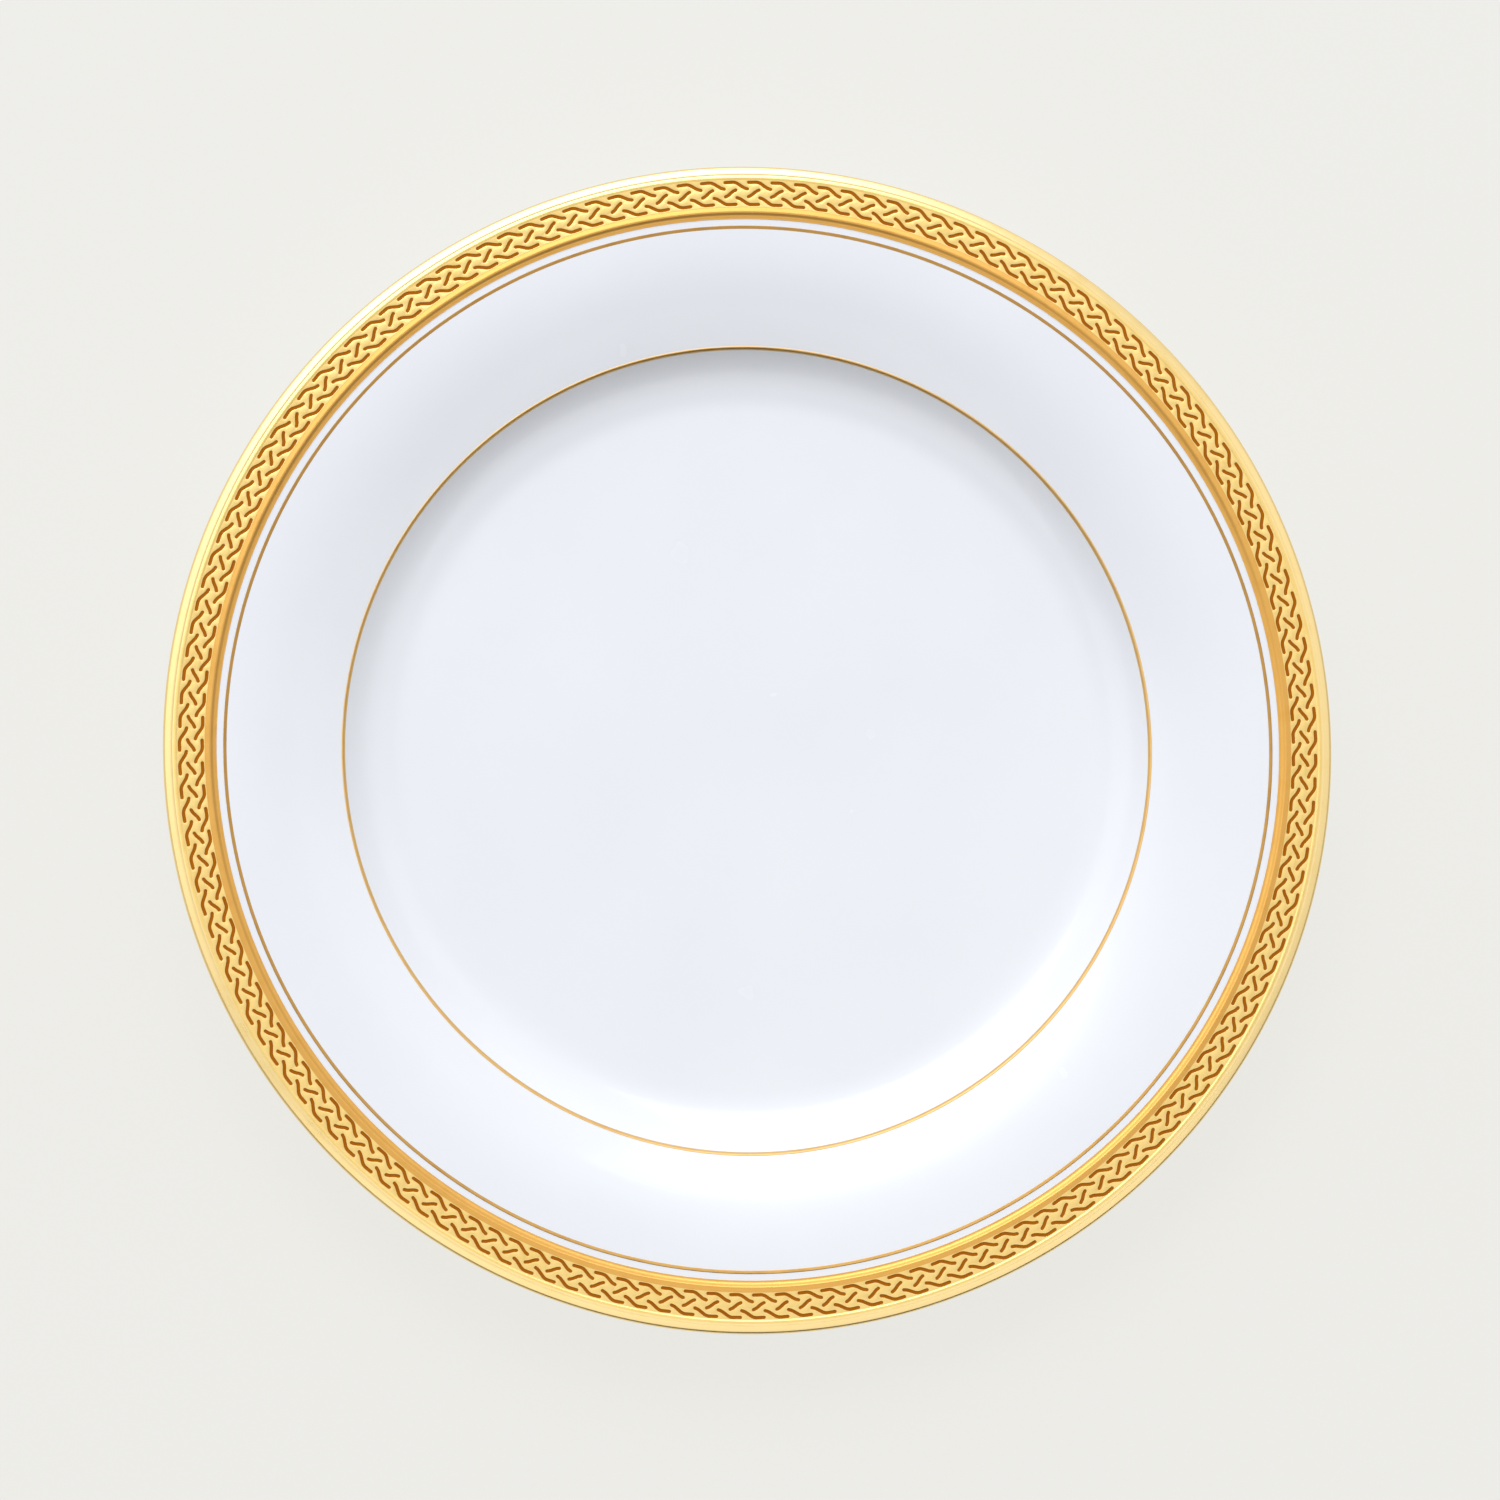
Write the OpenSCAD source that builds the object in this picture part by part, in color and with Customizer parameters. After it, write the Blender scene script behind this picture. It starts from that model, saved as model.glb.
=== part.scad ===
// China dinner plate with a gilded, etched rim.
// Bone china body on a foot ring, glazed front and back, with a broad gold band round the rim.
// The band carries a plaited border etched between two beads; two fine gold lines ring the
// flange. Millimetres, +Z up, origin at the centre of the foot ring's bearing face.

/* [Plate] */
// Diameter over the gilded lip
plate_d = 267; // [258:1:280]
// Radius of the flat floor of the well
floor_r = 78; // [76:0.5:80]
// Radius of the verge, the shoulder between the well and the flange
verge_r = 92.5; // [91.6:0.1:94]
// Height of the body's floor above the table
floor_z = 7.2; // [6.8:0.1:9]
// Steepest slope of the cavetto, the wall of the well, in degrees
cavetto_slope = 43; // [38:1:46]
// Slope of the flange beside the verge, in degrees
flange_slope = 19; // [15:0.5:21]
// Slope of the flange beside the gold band, in degrees
shoulder_slope = 3; // [2:0.5:5]

/* [Body thickness] */
// Thickness of the body under the well
well_t = 3.8; // [3.4:0.1:4.4]
// Thickness of the body at the verge
verge_t = 3.3; // [3:0.1:3.6]
// Thickness of the body halfway up the flange
flange_t = 2.8; // [2.6:0.1:3.2]
// Thickness of the body behind the lip
rim_t = 2.4; // [2.3:0.1:2.8]

/* [Foot ring] */
// Outer radius of the foot ring where it bears on the table
foot_r = 75.5; // [73:0.5:75.5]
// Width of the foot ring at the table
foot_w = 2.6; // [2.4:0.1:3.2]
// How far each side of the foot ring leans from the vertical over its height
foot_lean = 1; // [0.6:0.1:1.2]
// Height of the bare, unglazed toe of the foot ring
bare_toe = 0.9; // [0.7:0.1:1.2]

/* [Coats] */
// Thickness of the glaze
glaze_t = 0.2; // [0.15:0.01:0.22]
// Thickness of the burnished gold
gold_t = 0.12; // [0.1:0.01:0.12]
// Thickness of the matt gold at the bottom of the etched strokes
etched_t = 0.04; // [0.03:0.01:0.06]

/* [Rim border] */
// Rise of the border above the flange
border_rise = 0.42; // [0.36:0.02:0.5]
// Height of the two beads' crests above the border, before rounding
bead_h = 0.16; // [0.1:0.01:0.2]
// Depth of the valley between the outer bead and the lip, below the border
valley_depth = 0.03; // [0:0.01:0.06]
// Width of the two fine gold lines
line_w = 0.75; // [0.65:0.05:0.8]

/* [Braid] */
// Length of one repeat of the braid, rounded to fit a whole number round the rim
braid_pitch = 5.3; // [5.2:0.05:5.5]
// Width of an etched stroke
stroke_w = 0.66; // [0.4:0.02:0.7]
// Turn of the first repeat from +Y, clockwise from above, in degrees
braid_turn = 0.34; // [0:0.01:2.4]

/* [Hidden] */

// Smoothness: facets of a revolve, largest turn of an arc's step and steps of a round end
$fn = 360;
arc_step = 5;
cap_steps = 3;

plate_r = plate_d / 2;
body_r = plate_r - glaze_t - gold_t;

// Radii of the rim border, counted in from the lip
lip_crest_r = plate_r - 1.75;
valley_r = plate_r - 2.1;
seam_r = plate_r - 2.4;
outer_bead_r = plate_r - 2.75;
braid_r = plate_r - 6.3;
inner_bead_r = plate_r - 10.5;
step_r = plate_r - 11.4;
gold_r = plate_r - 12.1;
flange_line_r = plate_r - 14;

// The cavetto is an arc, tangent to the floor, that ends in a short straight below the verge
verge_straight = 0.6;
cavetto_arc = (verge_r - verge_straight - floor_r) / sin(cavetto_slope);
cavetto_corner = [floor_r + cavetto_arc * tan(cavetto_slope / 2), floor_z];
verge_round = 1.1;
verge = at_slope(cavetto_corner, verge_r, cavetto_slope);

// The flange is an arc too, between its two slopes
bend_r = (verge_r + step_r) / 2;
bend_tangent = flange_line_r - bend_r - 0.7;
bend_arc = bend_tangent / tan((flange_slope - shoulder_slope) / 2);
bend = at_slope(verge, bend_r, flange_slope);

// The rim border is level between its two beads
step = at_slope(bend, step_r, shoulder_slope);
border_z = step.y + border_rise;
bead_foot = 0.12;
lip_rise = 0.03;
lip_fall = 0.41;
lip_drop = 1.6;
underlip_r = body_r - 2.6;

// The smooth line of the face, whose offset is the back
smooth_face = [
    [0, floor_z],
    cavetto_corner,
    verge,
    bend,
    [body_r, at_slope(bend, body_r, shoulder_slope).y],
];
wall_t = [well_t, well_t, verge_t, flange_t, rim_t];
back = [for (i = [0:len(smooth_face) - 1]) offset_point(smooth_face, i, -wall_t[i])];
base_z = floor_z - well_t;
back_cavetto_arc = cavetto_arc * 0.7;
back_verge_round = 7;
back_bend_arc = bend_arc * 0.8;

// Where the glaze stops on each side of the foot ring
toe_share = bare_toe / base_z;
outer_stop = [foot_r + foot_lean * toe_share, bare_toe];
inner_stop = [foot_r - foot_w - foot_lean * toe_share, bare_toe];

// Where the gold starts and stops
verge_line_in = at_slope(verge, verge_r - line_w / 2, cavetto_slope);
verge_line_out = at_slope(verge, verge_r + line_w / 2, flange_slope);
flange_line_in = at_slope(bend, flange_line_r - line_w / 2, shoulder_slope);
flange_line_out = at_slope(bend, flange_line_r + line_w / 2, shoulder_slope);
gold_start = at_slope(bend, gold_r, shoulder_slope);
land_half = 3.1;
land_start = [braid_r - land_half, border_z];
land_stop = [braid_r + land_half, border_z];
outer_bead = [outer_bead_r, border_z + bead_h];
valley = [valley_r, border_z - valley_depth];
seam = along(outer_bead, valley, seam_r);
gold_stop = along(back[3], back[4], underlip_r + 1);

// The body's outline as corners, each [radius, height, rounding], from the middle of the
// floor over the rim and down the back to the middle of the base
corners = [
    [0, floor_z, 0],
    [cavetto_corner.x, cavetto_corner.y, cavetto_arc],
    corner(verge_line_in),
    [verge.x, verge.y, verge_round],
    corner(verge_line_out),
    [bend.x, bend.y, bend_arc],
    corner(flange_line_in),
    corner(flange_line_out),
    corner(gold_start),
    [step.x, step.y, 1.9],
    [inner_bead_r, border_z + bead_h, 0.35],
    [land_start.x - bead_foot, border_z, 0.4],
    corner(land_start),
    corner(land_stop),
    [land_stop.x + bead_foot, border_z, 0.4],
    [outer_bead.x, outer_bead.y, 0.4],
    corner(seam),
    [valley.x, valley.y, 0.5],
    [lip_crest_r, border_z + lip_rise, 0.6],
    [body_r, border_z - lip_fall, 0.5],
    [body_r, border_z - lip_drop, 0.7],
    corner(gold_stop),
    [back[3].x, back[3].y, back_bend_arc],
    [back[2].x, back[2].y, back_verge_round],
    [back[1].x, back[1].y, back_cavetto_arc],
    [foot_r + foot_lean, base_z, 1],
    corner(outer_stop),
    [foot_r, 0, 0.4],
    [foot_r - foot_w, 0, 0.4],
    corner(inner_stop),
    [foot_r - foot_w - foot_lean, base_z, 1.4],
    [0, base_z, 0],
];
outline = rounded(corners);

// One repeat of the braid in its own frame: x along the border clockwise, y outward
braid_count = round(2 * PI * braid_r / braid_pitch);
middle_stroke = [[-1.2, -0.8], [1.2, 0.8]];
outer_stroke = [[-1.16, 2.53], [0.95, 2.58], [3.1, 1.25], [3.85, 1.02]];
inner_stroke = [for (p = outer_stroke) -p];

// The point at radius x on the line through p that rises outward at a slope in degrees
function at_slope(p, x, slope) = [x, p.y + (x - p.x) * tan(slope)];

// The point at radius x on the line from a to b
function along(a, b, x) = a + (b - a) * (x - a.x) / (b.x - a.x);

// A corner that is left sharp, to mark where a coat starts or stops
function corner(p) = [p.x, p.y, 0];

function unit(v) = v / norm(v);
function left_of(a, b) = [a.y - b.y, b.x - a.x] / norm(b - a);

// A list of corners as a path, with an arc in place of each rounded corner
function rounded(list) = [
    for (i = [0:len(list) - 1])
        each list[i][2] > 0 ? arc(flat(list[i - 1]), flat(list[i]), flat(list[i + 1]), list[i][2])
                            : [flat(list[i])]
];
function flat(p) = [p.x, p.y];
function arc(before, p, after, r) =
    let (
        u = unit(before - p),
        v = unit(after - p),
        half = acos(u * v) / 2,
        centre = p + unit(u + v) * r / sin(half),
        start = p + u * r / tan(half),
        sweep = 180 - 2 * half,
        turn = sign(v.x * u.y - v.y * u.x),
        steps = max(2, ceil(sweep / arc_step))
    )
    [for (k = [0:steps]) centre + turned(start - centre, turn * sweep * k / steps)];
function turned(v, a) = [v.x * cos(a) - v.y * sin(a), v.x * sin(a) + v.y * cos(a)];

// The i-th point of a path, moved left by d with both of its sides
function offset_point(path, i, d) =
    let (
        last = len(path) - 1,
        m = left_of(path[max(i - 1, 0)], path[max(i, 1)]),
        n = left_of(path[min(i, last - 1)], path[min(i + 1, last)])
    )
    path[i] + d * (m + n) / (1 + m * n);

// The place in the outline of a point that marks a coat's start or stop
function place(mark) = [for (i = [0:len(outline) - 1]) if (norm(outline[i] - mark) < 0.001) i][0];

// The section of a coat on the outline between two marks, from depth lo to depth hi
function coat_section(from, to, lo, hi) =
    let (first = place(from), last = place(to))
    concat(
        [for (i = [first:last]) offset_point(outline, i, lo)],
        [for (i = [last:-1:first]) offset_point(outline, i, hi)]
    );

// A stroke's outline along its centreline, with round ends
function ribbon(path, w) =
    let (last = len(path) - 1)
    concat(
        [for (i = [0:last]) offset_point(path, i, w / 2)],
        cap(path[last], left_of(path[last - 1], path[last]) * w / 2),
        [for (i = [last:-1:0]) offset_point(path, i, -w / 2)],
        cap(path[0], left_of(path[1], path[0]) * w / 2)
    );
function cap(end, arm) = [for (k = [1:cap_steps - 1]) end + turned(arm, -180 * k / cap_steps)];

// A point of the braid's frame, wrapped round the rim
function wrapped(p) = (braid_r + p.y) * [sin(p.x / braid_r * 180 / PI), cos(p.x / braid_r * 180 / PI)];

module coat(from, to, lo, hi) {
    rotate_extrude() polygon(coat_section(from, to, lo, hi));
}

module stroke_ring(path) {
    stroke = [for (p = ribbon(path, stroke_w)) wrapped(p)];
    for (k = [0:braid_count - 1]) rotate(-braid_turn - k * 360 / braid_count) polygon(stroke);
}

module etched_strokes(path) {
    color([0.62, 0.42, 0.12])
        translate([0, 0, border_z + glaze_t]) linear_extrude(etched_t) stroke_ring(path);
}

module china_body() {
    color([0.93, 0.91, 0.86]) rotate_extrude() polygon(outline);
}

module glaze_coat() {
    color([0.95, 0.96, 0.97]) coat(outline[0], outer_stop, 0, glaze_t);
}

module base_glaze() {
    color([0.92, 0.93, 0.95]) coat(inner_stop, outline[len(outline) - 1], 0, glaze_t);
}

module verge_line() {
    color([0.78, 0.6, 0.3]) coat(verge_line_in, verge_line_out, glaze_t, glaze_t + gold_t);
}

module flange_line() {
    color([0.78, 0.6, 0.3]) coat(flange_line_in, flange_line_out, glaze_t, glaze_t + gold_t);
}

module inner_bead_gold() {
    color([0.88, 0.73, 0.42]) coat(gold_start, land_start, glaze_t, glaze_t + gold_t);
}

// The level land between the beads, pierced by the strokes of the braid
module braid_ground_gold() {
    color([0.85, 0.68, 0.36])
        translate([0, 0, border_z + glaze_t])
            linear_extrude(gold_t)
                difference() {
                    circle(land_stop.x);
                    circle(land_start.x);
                    for (path = [outer_stroke, middle_stroke, inner_stroke]) stroke_ring(path);
                }
}

module outer_bead_gold() {
    color([0.88, 0.73, 0.42]) coat(land_stop, seam, glaze_t, glaze_t + gold_t);
}

module lip_gold() {
    color([0.93, 0.8, 0.5]) coat(seam, gold_stop, glaze_t, glaze_t + gold_t);
}

module braid_outer_strokes() etched_strokes(outer_stroke);

module braid_middle_strokes() etched_strokes(middle_stroke);

module braid_inner_strokes() etched_strokes(inner_stroke);

china_body();
glaze_coat();
base_glaze();
verge_line();
flange_line();
inner_bead_gold();
braid_ground_gold();
outer_bead_gold();
lip_gold();
braid_outer_strokes();
braid_middle_strokes();
braid_inner_strokes();
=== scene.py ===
"""Looks of a gilded china dinner plate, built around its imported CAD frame.

The coats of glaze and gold are turned round the plate's axis from one section, and the etched
braid is cut into the gold stroke by stroke. Sections are in millimetres, meshes in metres.
"""
import math

import bmesh
import bpy
import numpy as np
from mathutils import Matrix, Vector, geometry


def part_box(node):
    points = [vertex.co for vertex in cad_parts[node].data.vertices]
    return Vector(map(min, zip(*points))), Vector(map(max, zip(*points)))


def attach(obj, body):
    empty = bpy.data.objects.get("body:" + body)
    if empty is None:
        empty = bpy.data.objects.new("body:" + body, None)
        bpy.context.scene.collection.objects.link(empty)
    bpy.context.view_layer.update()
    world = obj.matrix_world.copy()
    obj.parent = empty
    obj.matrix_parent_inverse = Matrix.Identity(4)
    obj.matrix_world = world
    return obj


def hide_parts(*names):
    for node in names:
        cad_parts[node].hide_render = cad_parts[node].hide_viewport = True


MM = 0.001

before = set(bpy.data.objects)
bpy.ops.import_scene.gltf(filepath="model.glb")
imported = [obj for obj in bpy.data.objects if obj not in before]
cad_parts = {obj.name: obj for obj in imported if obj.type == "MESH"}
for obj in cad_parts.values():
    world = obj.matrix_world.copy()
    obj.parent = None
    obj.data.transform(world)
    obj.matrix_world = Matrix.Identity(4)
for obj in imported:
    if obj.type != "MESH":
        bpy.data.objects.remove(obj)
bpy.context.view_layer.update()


# ---------------------------------------------------------------- sizes, in millimetres
# The frame gives the rim's radius, the heights of the base and the border and the gold's
# thickness. The rest is copied from the CAD source's defaults and doesn't follow a change there,
# except for STROKE_W and EDGE_ROUND, which are this script's own.

def reach(node):
    """How far a CAD node reaches from the axis, and its lowest and highest point."""
    low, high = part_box(node)
    return high.x / MM, low.z / MM, high.z / MM


PLATE_R = reach("lip_gold")[0]
BASE_Z = reach("base_glaze")[2]
LAND_Z, LAND_TOP_Z = reach("braid_ground_gold")[1:]

GLAZE_T = 0.2
GOLD_T = LAND_TOP_Z - LAND_Z
BODY_R = PLATE_R - GLAZE_T - GOLD_T
BORDER_Z = LAND_Z - GLAZE_T

# Well and flange
WELL_T = 3.8
FLOOR_Z = BASE_Z + WELL_T
FLOOR_R = 78.0
VERGE_R = 92.5
CAVETTO_SLOPE = math.radians(43)
FLANGE_SLOPE = math.radians(19)
SHOULDER_SLOPE = math.radians(3)
VERGE_STRAIGHT = 0.6
VERGE_ROUND = 1.1
BEND_CLEARANCE = 0.7
WALL_T = (WELL_T, WELL_T, 3.3, 2.8, 2.4)
BACK_CAVETTO_SHARE = 0.7
BACK_BEND_SHARE = 0.8
BACK_VERGE_ROUND = 7

# Rim border, counted in from the lip
LIP_CREST_R = PLATE_R - 1.75
VALLEY_R = PLATE_R - 2.1
SEAM_R = PLATE_R - 2.4
OUTER_BEAD_R = PLATE_R - 2.75
BRAID_R = PLATE_R - 6.3
INNER_BEAD_R = PLATE_R - 10.5
STEP_R = PLATE_R - 11.4
GOLD_R = PLATE_R - 12.1
FLANGE_LINE_R = PLATE_R - 14
LINE_W = 0.75
BEAD_FOOT = 0.12
BEAD_H = 0.16
VALLEY_DEPTH = 0.03
LIP_RISE = 0.03
LIP_FALL = 0.41
LIP_DROP = 1.6
UNDERLIP_R = BODY_R - 2.6

# Foot ring
FOOT_R = 75.5
FOOT_W = 2.6
FOOT_LEAN = 1.0
BARE_TOE = 0.9

# Etched braid, one repeat in its own frame: x along the border clockwise, y outward
BRAID_REPEATS = 151
LAND_HALF = 3.1
BRAID_TURN = math.radians(0.34)
# The CAD's strokes are 0.66 wide. These are wider, to look as bold as the real ones.
STROKE_W = 0.74
EDGE_ROUND = 0.07
MIDDLE_STROKE = ((-1.2, -0.78), (-0.6, -0.5), (0.6, 0.5), (1.2, 0.78))
OUTER_STROKE = ((-1.16, 2.53), (1.1, 2.62), (3.1, 1.25), (3.85, 1.02))
INNER_STROKE = tuple((-x, -y) for x, y in OUTER_STROKE)


# ---------------------------------------------------------------- paths

def unit(v):
    return v / np.linalg.norm(v)


def turned(v, angle):
    c, s = math.cos(angle), math.sin(angle)
    return np.array((v[0] * c - v[1] * s, v[0] * s + v[1] * c))


def rounded(corners, arc_step):
    """Corners, each (x, y, radius), as a path with a tangent arc in place of each rounded one."""
    points = [np.array(c[:2], float) for c in corners]
    path = []
    for i, corner in enumerate(corners):
        radius = corner[2]
        if not radius:
            path.append(points[i])
            continue
        u, v = unit(points[i - 1] - points[i]), unit(points[i + 1] - points[i])
        half = math.acos(u @ v) / 2
        centre = points[i] + unit(u + v) * radius / math.sin(half)
        start = points[i] + u * radius / math.tan(half)
        sweep = math.pi - 2 * half
        side = math.copysign(1, v[0] * u[1] - v[1] * u[0])
        steps = max(2, math.ceil(sweep / arc_step))
        path += [centre + turned(start - centre, side * sweep * k / steps) for k in range(steps + 1)]
    return np.array(path)


def moved(path, distance):
    """A path moved to its left, by one distance or by one for each of its points."""
    along = np.diff(path, axis=0)
    along /= np.linalg.norm(along, axis=1)[:, None]
    left = np.column_stack((-along[:, 1], along[:, 0]))
    before = np.vstack((left[:1], left))
    after = np.vstack((left, left[-1:]))
    mitre = (before + after) / (1 + (before * after).sum(1))[:, None]
    return path + mitre * np.reshape(distance, (-1, 1))


def at_slope(p, x, slope):
    return x, p[1] + (x - p[0]) * math.tan(slope)


def between(a, b, x):
    return x, a[1] + (b[1] - a[1]) * (x - a[0]) / (b[0] - a[0])


def place(path, mark):
    return int(np.argmin(np.linalg.norm(path - np.array(mark), axis=1)))


# ---------------------------------------------------------------- the plate's section

cavetto_arc = (VERGE_R - VERGE_STRAIGHT - FLOOR_R) / math.sin(CAVETTO_SLOPE)
cavetto_corner = (FLOOR_R + cavetto_arc * math.tan(CAVETTO_SLOPE / 2), FLOOR_Z)
verge = at_slope(cavetto_corner, VERGE_R, CAVETTO_SLOPE)
bend_r = (VERGE_R + STEP_R) / 2
bend_tangent = FLANGE_LINE_R - bend_r - BEND_CLEARANCE
bend_arc = bend_tangent / math.tan((FLANGE_SLOPE - SHOULDER_SLOPE) / 2)
bend = at_slope(verge, bend_r, FLANGE_SLOPE)
step = at_slope(bend, STEP_R, SHOULDER_SLOPE)
smooth_face = np.array(
    ((0, FLOOR_Z), cavetto_corner, verge, bend, at_slope(bend, BODY_R, SHOULDER_SLOPE))
)
back = moved(smooth_face, [-t for t in WALL_T])

verge_line_in = at_slope(verge, VERGE_R - LINE_W / 2, CAVETTO_SLOPE)
verge_line_out = at_slope(verge, VERGE_R + LINE_W / 2, FLANGE_SLOPE)
flange_line_in = at_slope(bend, FLANGE_LINE_R - LINE_W / 2, SHOULDER_SLOPE)
flange_line_out = at_slope(bend, FLANGE_LINE_R + LINE_W / 2, SHOULDER_SLOPE)
gold_start = at_slope(bend, GOLD_R, SHOULDER_SLOPE)
land_start = (BRAID_R - LAND_HALF, BORDER_Z)
land_stop = (BRAID_R + LAND_HALF, BORDER_Z)
outer_bead = (OUTER_BEAD_R, BORDER_Z + BEAD_H)
valley = (VALLEY_R, BORDER_Z - VALLEY_DEPTH)
seam = between(outer_bead, valley, SEAM_R)
gold_stop = between(back[3], back[4], UNDERLIP_R + 1)
toe_lean = FOOT_LEAN * BARE_TOE / BASE_Z
outer_stop = (FOOT_R + toe_lean, BARE_TOE)
inner_stop = (FOOT_R - FOOT_W - toe_lean, BARE_TOE)


def section(arc_step):
    """The body's outline, from the middle of the floor over the rim to the middle of the base."""
    return rounded((
        (0, FLOOR_Z, 0),
        (*cavetto_corner, cavetto_arc),
        (*verge_line_in, 0),
        (*verge, VERGE_ROUND),
        (*verge_line_out, 0),
        (*bend, bend_arc),
        (*flange_line_in, 0),
        (*flange_line_out, 0),
        (*gold_start, 0),
        (*step, 1.9),
        (INNER_BEAD_R, BORDER_Z + BEAD_H, 0.35),
        (land_start[0] - BEAD_FOOT, BORDER_Z, 0.4),
        (*land_start, 0),
        (*land_stop, 0),
        (land_stop[0] + BEAD_FOOT, BORDER_Z, 0.4),
        (*outer_bead, 0.4),
        (*seam, 0),
        (*valley, 0.5),
        (LIP_CREST_R, BORDER_Z + LIP_RISE, 0.6),
        (BODY_R, BORDER_Z - LIP_FALL, 0.5),
        (BODY_R, BORDER_Z - LIP_DROP, 0.7),
        (*gold_stop, 0),
        (*back[3], bend_arc * BACK_BEND_SHARE),
        (*back[2], BACK_VERGE_ROUND),
        (*back[1], cavetto_arc * BACK_CAVETTO_SHARE),
        (FOOT_R + FOOT_LEAN, BASE_Z, 1),
        (*outer_stop, 0),
        (FOOT_R, 0, 0.4),
        (FOOT_R - FOOT_W, 0, 0.4),
        (*inner_stop, 0),
        (FOOT_R - FOOT_W - FOOT_LEAN, BASE_Z, 1.4),
        (0, BASE_Z, 0),
    ), arc_step)


OUTLINE_ARC_STEP = math.radians(4)
outline = section(OUTLINE_ARC_STEP)


def coat_section(start, stop, low, high):
    """The closed section of a coat that lies on the outline between two marks."""
    first, last = place(outline, start), place(outline, stop)
    under = moved(outline, low)[first:last + 1]
    over = moved(outline, high)[first:last + 1]
    return np.vstack((under, over[::-1]))


# ---------------------------------------------------------------- materials

def material(name):
    made = bpy.data.materials.new(name)
    made.use_nodes = True
    nodes = made.node_tree.nodes
    shader = nodes["Principled BSDF"]
    return made, nodes, made.node_tree.links, shader


def node(nodes, kind, **values):
    """A new shader node with its properties, and its inputs by name, set."""
    new = nodes.new(kind)
    for key, value in values.items():
        if hasattr(new, key):
            setattr(new, key, value)
        else:
            new.inputs[key.replace("_", " ")].default_value = value
    return new


def ramp(nodes, links, factor, stops):
    """A colour ramp on a factor socket, its stops given as (position, colour)."""
    new = nodes.new("ShaderNodeValToRGB")
    first, last = new.color_ramp.elements
    for element, (position, colour) in zip((first, last), (stops[0], stops[-1])):
        element.position, element.color = position, (*colour, 1)
    for position, colour in stops[1:-1]:
        new.color_ramp.elements.new(position).color = (*colour, 1)
    links.new(factor, new.inputs["Fac"])
    return new.outputs["Color"]


def noise(nodes, links, coordinates, scale, detail=3.0, roughness=0.5):
    new = node(nodes, "ShaderNodeTexNoise", Scale=scale, Detail=detail, Roughness=roughness)
    links.new(coordinates, new.inputs["Vector"])
    return new.outputs["Fac"]


def span(nodes, links, factor, low, high):
    """A factor from 0 to 1 as a value from low to high."""
    new = node(nodes, "ShaderNodeMapRange", To_Min=low, To_Max=high)
    links.new(factor, new.inputs["Value"])
    return new.outputs["Result"]


def bump(nodes, links, height, strength, distance):
    new = node(nodes, "ShaderNodeBump", Strength=strength, Distance=distance)
    links.new(height, new.inputs["Height"])
    return new.outputs["Normal"]


def round_axis(nodes, links, point):
    """The distance of a point from the plate's axis, as a vector that a noise can read."""
    flat = node(nodes, "ShaderNodeVectorMath", operation="MULTIPLY")
    flat.inputs[1].default_value = (1, 1, 0)
    links.new(point, flat.inputs[0])
    length = node(nodes, "ShaderNodeVectorMath", operation="LENGTH")
    links.new(flat.outputs["Vector"], length.inputs[0])
    combined = nodes.new("ShaderNodeCombineXYZ")
    links.new(length.outputs["Value"], combined.inputs["X"])
    return combined.outputs["Vector"]


def glaze_material():
    """White glaze: a glassy coat over a faintly blue white, not quite level."""
    made, nodes, links, shader = material("glaze")
    point = nodes.new("ShaderNodeTexCoord").outputs["Object"]
    cloud = noise(nodes, links, point, 22, 4)
    links.new(ramp(nodes, links, cloud, (
        (0.3, (0.91, 0.918, 0.94)),
        (0.7, (0.938, 0.946, 0.962)),
    )), shader.inputs["Base Color"])
    links.new(span(nodes, links, noise(nodes, links, point, 60), 0.2, 0.3), shader.inputs["Roughness"])
    peel = noise(nodes, links, point, 260, 2)
    links.new(bump(nodes, links, peel, 0.05, 0.0002), shader.inputs["Normal"])
    shader.inputs["Coat Weight"].default_value = 0.35
    shader.inputs["Coat Roughness"].default_value = 0.06
    shader.inputs["IOR"].default_value = 1.5
    return made


def bisque_material():
    """Bare fired bone china on the toe of the foot ring: matt, fine-grained, warm white."""
    made, nodes, links, shader = material("bisque")
    point = nodes.new("ShaderNodeTexCoord").outputs["Object"]
    grain = noise(nodes, links, point, 1500, 5, 0.7)
    links.new(ramp(nodes, links, grain, (
        (0.35, (0.66, 0.63, 0.56)),
        (0.6, (0.78, 0.755, 0.69)),
    )), shader.inputs["Base Color"])
    links.new(bump(nodes, links, grain, 0.5, 0.00008), shader.inputs["Normal"])
    shader.inputs["Roughness"].default_value = 0.85
    return made


def gold_material(name, dark, light, smoothest, roughest, grain=0.1):
    """Fired gold: the brush left fine rings in it, and burnishing polished it unevenly."""
    made, nodes, links, shader = material(name)
    point = nodes.new("ShaderNodeTexCoord").outputs["Object"]
    rings = noise(nodes, links, round_axis(nodes, links, point), 2600, 4, 0.7)
    patches = noise(nodes, links, point, 190, 5, 0.6)
    mixed = node(nodes, "ShaderNodeMath", operation="ADD")
    links.new(rings, mixed.inputs[0])
    links.new(patches, mixed.inputs[1])
    half = span(nodes, links, mixed.outputs[0], 0, 0.5)
    links.new(ramp(nodes, links, half, ((0.35, dark), (0.65, light))), shader.inputs["Base Color"])
    links.new(span(nodes, links, patches, smoothest, roughest), shader.inputs["Roughness"])
    fine = noise(nodes, links, point, 2400, 3, 0.6)
    links.new(bump(nodes, links, fine, grain, 0.00005), shader.inputs["Normal"])
    shader.inputs["Metallic"].default_value = 1
    return made


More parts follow.
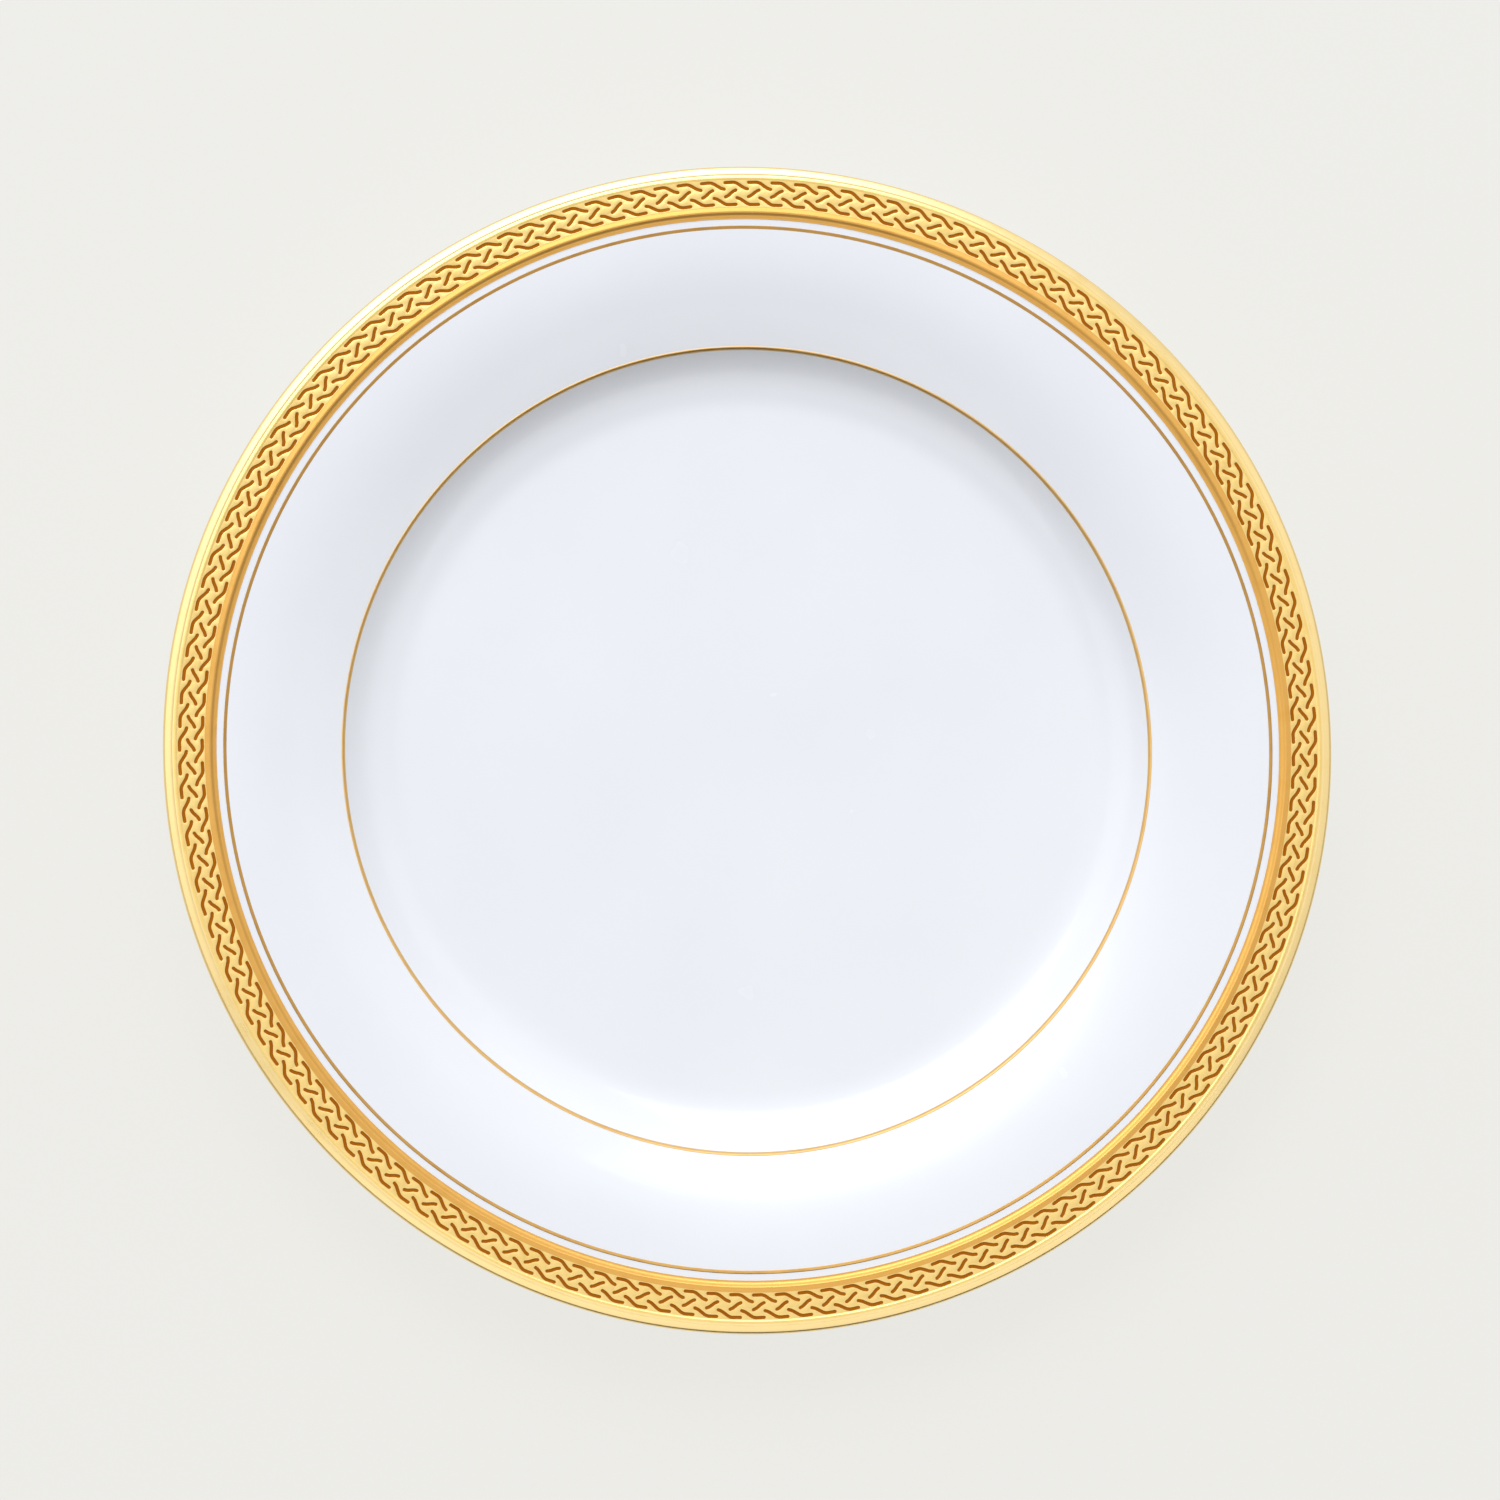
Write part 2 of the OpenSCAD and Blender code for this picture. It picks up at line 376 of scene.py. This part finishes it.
GLAZE = glaze_material()
BISQUE = bisque_material()
BURNISHED = gold_material("burnished_gold", (0.9, 0.62, 0.2), (0.99, 0.745, 0.3), 0.28, 0.42)
# The inner bead's gold is the burnished gold darkened and browned: painted shade on the slope that
# faces the plate's middle.
SHADED_INNER_BEAD_GOLD = gold_material(
    "inner_bead_gold", (0.738, 0.3844, 0.084), (0.8118, 0.4619, 0.126), 0.28, 0.42
)
LIP = gold_material("lip_gold", (0.93, 0.68, 0.27), (1.0, 0.79, 0.4), 0.24, 0.34)
LINE = gold_material("line_gold", (0.5, 0.27, 0.07), (0.66, 0.38, 0.12), 0.25, 0.4)
VERGE_LINE = gold_material("verge_line_gold", (0.78, 0.48, 0.17), (0.92, 0.6, 0.25), 0.25, 0.4)
# The etched gold's dark brown is partly its dull matt tone and partly painted shade of the shallow
# grooves.
ETCHED_AND_SHADED_GOLD = gold_material("etched_gold", (0.38, 0.12, 0.005), (0.52, 0.18, 0.012), 0.6, 0.8, 0.6)


# ---------------------------------------------------------------- meshes

SHARP = math.radians(35)
COARSE_TURN = 240
FINE_TURN = 720


def face_outward(mesh):
    """Wind every face of a closed mesh the same way, normals outward."""
    wound = bmesh.new()
    wound.from_mesh(mesh)
    bmesh.ops.recalc_face_normals(wound, faces=wound.faces)
    wound.to_mesh(mesh)
    wound.free()


def piece(name, points, faces, look, slot, *stands_for):
    """A mesh piece that rides on the plate's one body and stands for CAD nodes."""
    mesh = bpy.data.meshes.new(name)
    mesh.from_pydata((np.asarray(points) * MM).tolist(), [], faces)
    face_outward(mesh)
    mesh.validate()
    mesh.shade_smooth()
    mesh.set_sharp_from_angle(angle=SHARP)
    mesh.materials.append(look)
    made = bpy.data.objects.new(name, mesh)
    bpy.context.scene.collection.objects.link(made)
    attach(made, "root")
    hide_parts(*stands_for)


def turned_piece(name, loop, segments, look, slot, node_name):
    """A closed section, turned round the axis. A point of it on the axis is one vertex."""
    angles = np.arange(segments) * 2 * math.pi / segments
    ring = np.column_stack((np.cos(angles), np.sin(angles)))
    points, places = [], []
    for r, z in loop:
        count = 1 if r < 1e-6 else segments
        places.append((len(points), count))
        points += [(0, 0, z)] if count == 1 else [(r * c, r * s, z) for c, s in ring]
    faces = []
    for (a, a_count), (b, b_count) in zip(places, places[1:] + places[:1]):
        if a_count == b_count == 1:
            continue
        for k in range(segments):
            m = (k + 1) % segments
            corners = (a + k % a_count, a + m % a_count, b + m % b_count, b + k % b_count)
            faces.append(tuple(dict.fromkeys(corners)))
    piece(name, points, faces, look, slot, node_name)


def coat(name, start, stop, low, high, segments, look, slot):
    loop = coat_section(start, stop, low, high)[::-1]
    turned_piece(name + "_coat", loop, segments, look, slot, name)


# How a drawn line's height goes from its inner to its outer edge, as shares of width and height
LINE_CROWN = ((0, 0.15), (0.1, 0.3), (0.85, 1), (1, 0.4))


def drawn_line(name, start, stop, look):
    """A line of gold drawn on the glaze: crowned, with most of the gold at its outer side."""
    first, last = place(outline, start), place(outline, stop)
    glazed = moved(outline, GLAZE_T)[first:last + 1]
    lengths = np.linalg.norm(np.diff(glazed, axis=0), axis=1)
    share = np.append(0, np.cumsum(lengths)) / lengths.sum()
    steps = np.linspace(0, 1, 21)
    under = np.column_stack([np.interp(steps, share, column) for column in glazed.T])
    over = moved(under, GOLD_T * np.interp(steps, *np.array(LINE_CROWN).T))
    loop = np.vstack((under, over[::-1]))[::-1]
    turned_piece(name + "_coat", loop, FINE_TURN, look, "line_gold", name)


# ---------------------------------------------------------------- braid

CENTRELINE_ROUND = 2.2
CENTRELINE_ARC_STEP = math.radians(9)


def smooth_centreline(corners):
    """A stroke's centreline with its inner corners rounded."""
    inner = range(1, len(corners) - 1)
    return rounded(
        [(x, y, CENTRELINE_ROUND * (i in inner)) for i, (x, y) in enumerate(corners)],
        CENTRELINE_ARC_STEP,
    )


def stroke_ring(corners, width, cap_steps=6):
    """A stroke's outline at a width, with round ends, counter-clockwise in its own frame."""
    path = smooth_centreline(corners)
    left, right = moved(path, width / 2), moved(path, -width / 2)
    caps = []
    for end, arm in ((path[-1], right[-1] - path[-1]), (path[0], left[0] - path[0])):
        caps.append([end + turned(arm, math.pi * k / cap_steps) for k in range(1, cap_steps)])
    return np.vstack((right, caps[0], left[::-1], caps[1]))


def wrapped(points, repeat):
    """Points of the braid's frame, wrapped round the rim at one of its repeats."""
    angle = points[:, 0] / BRAID_R + BRAID_TURN + repeat * 2 * math.pi / BRAID_REPEATS
    radius = BRAID_R + points[:, 1]
    return np.column_stack((radius * np.sin(angle), radius * np.cos(angle)))


def at_height(flat, z):
    return np.column_stack((flat, np.full(len(flat), z)))


def band(first, second, count):
    """Quads between two rings of vertices that start at these indices."""
    return [
        (first + k, first + (k + 1) % count, second + (k + 1) % count, second + k)
        for k in range(count)
    ]


# A stroke's edge rolls over into the groove, and its wall eases into the bottom
ROLL = ((2 * EDGE_ROUND, 0), (EDGE_ROUND * 0.75, -0.012), (0, -0.045))
WALL = ((0, -0.045), (-0.08, -0.082), (-0.2, -0.1))


def stroke_piece(name, corners):
    """The matt gold in the grooves of one stroke of every repeat. Its dark brown is partly the etched
    gold's dull tone and partly painted shade of the grooves.
    """
    points, faces = [], []
    for repeat in range(BRAID_REPEATS):
        first = len(points)
        rings = [(spread, LAND_TOP_Z + drop) for spread, drop in WALL]
        rings.insert(0, (0, LAND_Z))
        for spread, z in rings:
            flat = wrapped(stroke_ring(corners, STROKE_W + spread), repeat)
            points += at_height(flat, z).tolist()
        count = len(flat)
        starts = [first + i * count for i in range(len(rings))]
        for a, b in zip(starts, starts[1:]):
            faces += band(b, a, count)
        faces.append(tuple(range(starts[-1] + count - 1, starts[-1] - 1, -1)))
        faces.append(tuple(range(first, first + count)))
    piece(name + "_grooves", points, faces, ETCHED_AND_SHADED_GOLD, "etched_gold", name)


def braid_ground():
    """The burnished land round the strokes: pierced, rolled over at every edge, and closed."""
    circle = np.arange(BRAID_REPEATS * 6) * 2 * math.pi / (BRAID_REPEATS * 6)
    unit_circle = np.column_stack((np.cos(circle), np.sin(circle)))
    loops = [unit_circle * land_stop[0], unit_circle * land_start[0]]
    holes = [
        (corners, repeat)
        for repeat in range(BRAID_REPEATS)
        for corners in (OUTER_STROKE, MIDDLE_STROKE, INNER_STROKE)
    ]
    loops += [wrapped(stroke_ring(c, STROKE_W + ROLL[0][0]), repeat) for c, repeat in holes]
    starts = np.cumsum([0] + [len(loop) for loop in loops])
    flat = np.vstack(loops)
    outlines = [list(range(a, b)) for a, b in zip(starts, starts[1:])]
    laid = geometry.delaunay_2d_cdt([Vector(p) for p in flat], [], outlines, 1, 1e-6)
    new_index = {old: new for new, olds in enumerate(laid[3]) for old in olds}
    kept = [t for t, owners in zip(laid[2], laid[5]) if list(owners) == [0]]

    ground = np.array([tuple(v) for v in laid[0]])
    lower = ground.copy()
    points = at_height(ground, LAND_TOP_Z).tolist()
    faces = [tuple(t) for t in kept]
    walls = []
    for (corners, repeat), outline_points in zip(holes, outlines[2:]):
        upper = [new_index[i] for i in outline_points]
        count = len(upper)
        for spread, drop in ROLL[1:]:
            ring = wrapped(stroke_ring(corners, STROKE_W + spread), repeat)
            first = len(points)
            points += at_height(ring, LAND_TOP_Z + drop).tolist()
            fresh = list(range(first, first + count))
            faces += [
                (upper[k], fresh[k], fresh[(k + 1) % count], upper[(k + 1) % count])
                for k in range(count)
            ]
            upper = fresh
        bottom = [new_index[i] for i in outline_points]
        lower[bottom] = ring
        for k in range(count):
            after = (k + 1) % count
            walls.append((upper[k], bottom[k], bottom[after], upper[after]))
    base = len(points)
    points += at_height(lower, LAND_Z).tolist()
    faces += [(a, base + b, base + c, d) for a, b, c, d in walls]
    faces += [tuple(base + i for i in reversed(t)) for t in kept]
    for edge in outlines[:2]:
        rim = [new_index[i] for i in edge]
        faces += [
            (rim[k], base + rim[k], base + rim[(k + 1) % len(rim)], rim[(k + 1) % len(rim)])
            for k in range(len(rim))
        ]
    piece("braid_ground", points, faces, BURNISHED, "burnished_gold", "braid_ground_gold")


# ---------------------------------------------------------------- the plate

def build_plate():
    coat("glaze_coat", outline[0], outer_stop, 0, GLAZE_T, COARSE_TURN, GLAZE, "glaze")
    coat("base_glaze", inner_stop, outline[-1], 0, GLAZE_T, COARSE_TURN, GLAZE, "glaze")
    turned_piece("body", outline[::-1], COARSE_TURN, BISQUE, "bisque", "china_body")
    gold = (GLAZE_T, GLAZE_T + GOLD_T)
    drawn_line("verge_line", verge_line_in, verge_line_out, VERGE_LINE)
    drawn_line("flange_line", flange_line_in, flange_line_out, LINE)
    coat("inner_bead_gold", gold_start, land_start, *gold, FINE_TURN, SHADED_INNER_BEAD_GOLD, "burnished_gold")
    coat("outer_bead_gold", land_stop, seam, *gold, FINE_TURN, BURNISHED, "burnished_gold")
    coat("lip_gold", seam, gold_stop, *gold, FINE_TURN, LIP, "burnished_gold")
    braid_ground()
    stroke_piece("braid_outer_strokes", OUTER_STROKE)
    stroke_piece("braid_middle_strokes", MIDDLE_STROKE)
    stroke_piece("braid_inner_strokes", INNER_STROKE)


# ---------------------------------------------------------------- stage, light and camera

BACKDROP = (0.855, 0.847, 0.807)
FLOOR_ALBEDO = 0.16
FLOOR_GLOW = 0.86
VIEW_TILT = math.radians(7.1)
VIEW_SIDE = Vector((-0.674, -0.738, 0))
VIEW_DISTANCE = 2.2
VIEW_SPOT = Vector((-0.0001, -0.0007, LAND_TOP_Z * MM))
VIEW_WIDTH = 0.34143
LIGHT_SIDE = Vector((-0.208, 0.978, 0))
LIGHT_DISTANCE = 1.6
DAYLIGHT = (0.9, 1, 1.18)
WHITE = (1, 1, 1)
# Softboxes: the side each stands on, its elevation in degrees, width, height, watts and colour
LIGHTS = {
    "key": (LIGHT_SIDE, 50, 1.2, 0.8, 8.1, DAYLIGHT),
    "left": (Vector((-1, 0.2, 0)), 50, 1.2, 0.8, 1.95, WHITE),
    "right": (Vector((1, 0.2, 0)), 50, 1.2, 0.8, 1.45, WHITE),
    "card": (Vector((0.1, -1, 0)), 58, 2.4, 0.8, 5.4, WHITE),
}
ROOM_EVEN = 0.01
ROOM_WINDOW = 1.14
ROOM_CEILING = 0.56


def toward(side, elevation):
    return side.normalized() * math.cos(elevation) + Vector((0, 0, math.sin(elevation)))


def floor():
    """A pale sweep that glows a little, as a backlit table does, so that shadows stay faint."""
    mesh = bpy.data.meshes.new("floor")
    half = 4.0
    corners = [(-half, -half, 0), (half, -half, 0), (half, half, 0), (-half, half, 0)]
    mesh.from_pydata(corners, [], [(0, 1, 2, 3)])
    made = bpy.data.objects.new("floor", mesh)
    bpy.context.scene.collection.objects.link(made)
    look, nodes, links, shader = material("floor")
    point = nodes.new("ShaderNodeTexCoord").outputs["Object"]
    grain = noise(nodes, links, point, 900, 2)
    links.new(ramp(nodes, links, grain, (
        (0.3, tuple(c * FLOOR_ALBEDO * 0.95 for c in BACKDROP)),
        (0.7, tuple(c * FLOOR_ALBEDO for c in BACKDROP)),
    )), shader.inputs["Base Color"])
    shader.inputs["Roughness"].default_value = 0.9
    shader.inputs["Specular IOR Level"].default_value = 0
    shader.inputs["Emission Color"].default_value = (*BACKDROP, 1)
    shader.inputs["Emission Strength"].default_value = FLOOR_GLOW
    mesh.materials.append(look)


def aim(thing, spot, up):
    """Turns a light or camera to look at a spot with its top towards up."""
    ahead = (spot - thing.location).normalized()
    right = ahead.cross(up).normalized()
    top = right.cross(ahead)
    turn = Matrix((right, top, -ahead)).transposed()
    thing.rotation_mode = "QUATERNION"
    thing.rotation_quaternion = turn.to_quaternion()


def area_light(name, direction, distance, width, height, power, colour):
    lamp = bpy.data.lights.new(name, "AREA")
    lamp.color = colour
    lamp.shape = "RECTANGLE"
    lamp.size, lamp.size_y = width, height
    lamp.energy = power
    made = bpy.data.objects.new(name, lamp)
    made.location = direction * distance
    bpy.context.scene.collection.objects.link(made)
    aim(made, Vector((0, 0, 0)), Vector((0, 0, 1)))
    return made


def lobe(nodes, links, way, side, offset, power, strength):
    """Light from the side of the room that a vector points to, as a node's output."""
    facing = node(nodes, "ShaderNodeVectorMath", operation="DOT_PRODUCT")
    facing.inputs[1].default_value = side
    links.new(way, facing.inputs[0])
    lifted = node(nodes, "ShaderNodeMath", operation="MULTIPLY_ADD")
    lifted.inputs[1].default_value = 1 - offset
    lifted.inputs[2].default_value = offset
    links.new(facing.outputs["Value"], lifted.inputs[0])
    kept = node(nodes, "ShaderNodeMath", operation="MAXIMUM")
    links.new(lifted.outputs[0], kept.inputs[0])
    kept.inputs[1].default_value = 0
    shaped = node(nodes, "ShaderNodeMath", operation="POWER")
    links.new(kept.outputs[0], shaped.inputs[0])
    shaped.inputs[1].default_value = power
    scaled = node(nodes, "ShaderNodeMath", operation="MULTIPLY")
    links.new(shaped.outputs[0], scaled.inputs[0])
    scaled.inputs[1].default_value = strength
    return scaled.outputs[0]


def room():
    """A white room, lit by a wide window on the key's side and by its ceiling.

    Seen directly it is an even pale backdrop.
    """
    world = bpy.data.worlds.new("room")
    world.use_nodes = True
    nodes, links = world.node_tree.nodes, world.node_tree.links
    way = nodes.new("ShaderNodeTexCoord").outputs["Generated"]
    window = lobe(nodes, links, way, LIGHT_SIDE, 0.5, 1, ROOM_WINDOW)
    ceiling = lobe(nodes, links, way, (0, 0, 1), 0, 30, ROOM_CEILING)
    total = node(nodes, "ShaderNodeMath", operation="ADD")
    links.new(window, total.inputs[0])
    links.new(ceiling, total.inputs[1])
    strength = node(nodes, "ShaderNodeMath", operation="ADD")
    links.new(total.outputs[0], strength.inputs[0])
    strength.inputs[1].default_value = ROOM_EVEN
    lit = nodes["Background"]
    lit.inputs["Color"].default_value = (1, 1, 1, 1)
    links.new(strength.outputs[0], lit.inputs["Strength"])
    seen = node(nodes, "ShaderNodeBackground", Color=(*BACKDROP, 1))
    either = nodes.new("ShaderNodeMixShader")
    links.new(nodes.new("ShaderNodeLightPath").outputs["Is Camera Ray"], either.inputs["Fac"])
    links.new(lit.outputs[0], either.inputs[1])
    links.new(seen.outputs[0], either.inputs[2])
    links.new(either.outputs[0], nodes["World Output"].inputs["Surface"])
    bpy.context.scene.world = world


def camera():
    data = bpy.data.cameras.new("camera")
    data.sensor_width = 36
    data.lens = data.sensor_width * VIEW_DISTANCE / VIEW_WIDTH
    data.clip_end = 20
    made = bpy.data.objects.new("camera", data)
    made.location = VIEW_SPOT + toward(VIEW_SIDE, math.pi / 2 - VIEW_TILT) * VIEW_DISTANCE
    bpy.context.scene.collection.objects.link(made)
    aim(made, VIEW_SPOT, Vector((0, 1, 0)))
    bpy.context.scene.camera = made


build_plate()
floor()
for light_name, (light_side, elevation, *light_size, watts, colour) in LIGHTS.items():
    direction = toward(light_side, math.radians(elevation))
    box = area_light(light_name, direction, LIGHT_DISTANCE, *light_size, watts, colour)
    # The card stands for a reflector. It is seen in the gloss only, which no real light can do.
    box.visible_diffuse = light_name != "card"
room()
camera()
bpy.context.scene.view_settings.view_transform = "Standard"
